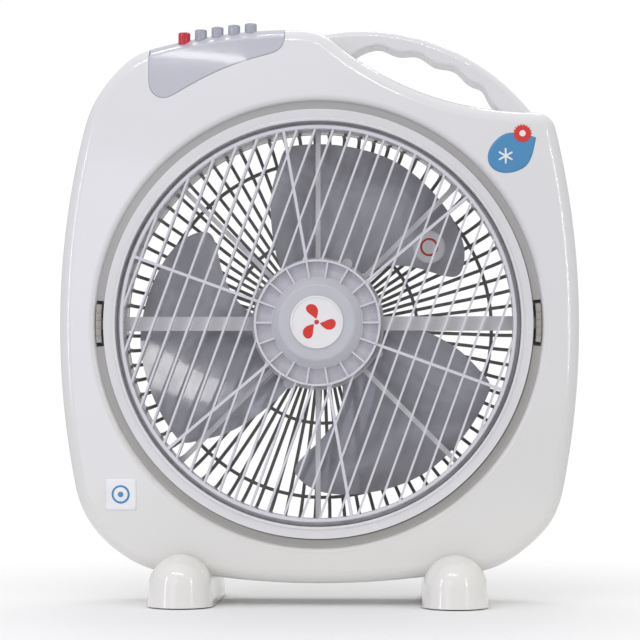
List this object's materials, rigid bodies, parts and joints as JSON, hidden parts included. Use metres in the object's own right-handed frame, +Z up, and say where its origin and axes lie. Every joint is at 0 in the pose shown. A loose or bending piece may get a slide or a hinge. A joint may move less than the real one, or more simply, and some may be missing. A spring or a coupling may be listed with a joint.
{
  "type": "box fan",
  "caption": "Portable box fan with a turning louvre wheel, push keys, a grip cut into the corner and domed feet.",
  "frame": {"origin": "on the floor below the fan's hub, midway between the front and back of the feet", "axes": "+X right as seen from the front, +Y towards the back, +Z up; air leaves towards -Y"},
  "size_m": [0.48, 0.1784, 0.5406],
  "materials": {
    "casing": "glossy off-white ABS",
    "panel": "glossy blue-grey ABS",
    "key_grey": "satin grey plastic",
    "key_red": "satin red plastic",
    "ring": "satin pale grey plastic",
    "louvre": "satin lavender-grey plastic",
    "cap": "glossy grey plastic",
    "disc": "glossy white plastic",
    "grille": "satin grey plastic",
    "blade": "smoky grey plastic",
    "dark": "black moulded plastic",
    "steel": "zinc-plated steel",
    "laminations": "stacked silicon steel",
    "copper": null,
    "bronze": "sintered bronze",
    "motor_paint": "grey painted steel",
    "rubber": "matt black rubber"
  },
  "bodies": {
    "casing": {"front_housing": "casing", "rear_housing": "casing", "carry_handle": "casing", "foot_left": "casing", "foot_right": "casing", "control_panel": "panel", "rear_grille": "grille", "front_ring": "ring", "spider": "ring", "switch_body": "dark", "switch_bracket": "steel", "louvre_motor": "motor_paint", "motor_cover_front": "motor_paint", "motor_cover_rear": "motor_paint", "stator_core": "laminations", "windings": "copper", "bush_front": "bronze", "bush_rear": "bronze", "capacitor": "dark", "cord_gland": "rubber", "foot_pads": "rubber", "housing_screws": "steel", "spider_screws": "steel", "louvre_motor_screws": "steel", "grille_screws": "steel", "bracket_screws": "steel", "handle_screws": "steel", "foot_screws": "steel", "motor_mount_screws": "steel", "motor_bolts": "steel", "key_spring_stop": "steel", "key_spring_low": "steel", "key_spring_medium": "steel", "key_spring_high": "steel", "key_spring_louvre": "steel"},
    "fan": {"fan_rotor": "blade", "blade_nut": "dark", "motor_shaft": "steel", "rotor_core": "laminations", "thrust_washers": "dark"},
    "louvre": {"louvre_wheel": "louvre", "hub_cap": "cap", "hub_disc": "disc", "louvre_shaft": "steel"},
    "latch_left": {"ring_latch_left": "ring"},
    "latch_right": {"ring_latch_right": "ring"},
    "key_stop": {"key_stop": "key_red"},
    "key_low": {"key_low": "key_grey"},
    "key_medium": {"key_medium": "key_grey"},
    "key_high": {"key_high": "key_grey"},
    "key_louvre": {"key_louvre": "key_grey"}
  },
  "joints": [
    {"name": "fan_spin", "type": "hinge", "parent": "casing", "child": "fan", "pos_m": [0, 0, 0.259], "axis": [0, 1, 0], "continuous": true},
    {"name": "louvre_spin", "type": "hinge", "parent": "casing", "child": "louvre", "pos_m": [0, 0, 0.259], "axis": [0, 1, 0], "continuous": true},
    {"name": "latch_left_press", "type": "slide", "parent": "casing", "child": "latch_left", "axis": [1, 0, 0], "range_m": [0, 0.0024], "stiffness_N_per_m": 900},
    {"name": "latch_right_press", "type": "slide", "parent": "casing", "child": "latch_right", "axis": [-1, 0, 0], "range_m": [0, 0.0024], "stiffness_N_per_m": 900},
    {"name": "press_stop", "type": "slide", "parent": "casing", "child": "key_stop", "axis": [0, 0, -1], "range_m": [0, 0.004], "stiffness_N_per_m": 700, "deforming": ["key_spring_stop"]},
    {"name": "press_low", "type": "slide", "parent": "casing", "child": "key_low", "axis": [0, 0, -1], "range_m": [0, 0.004], "stiffness_N_per_m": 700, "deforming": ["key_spring_low"]},
    {"name": "press_medium", "type": "slide", "parent": "casing", "child": "key_medium", "axis": [0, 0, -1], "range_m": [0, 0.004], "stiffness_N_per_m": 700, "deforming": ["key_spring_medium"]},
    {"name": "press_high", "type": "slide", "parent": "casing", "child": "key_high", "axis": [0, 0, -1], "range_m": [0, 0.004], "stiffness_N_per_m": 700, "deforming": ["key_spring_high"]},
    {"name": "press_louvre", "type": "slide", "parent": "casing", "child": "key_louvre", "axis": [0, 0, -1], "range_m": [0, 0.004], "stiffness_N_per_m": 700, "deforming": ["key_spring_louvre"]}
  ]
}
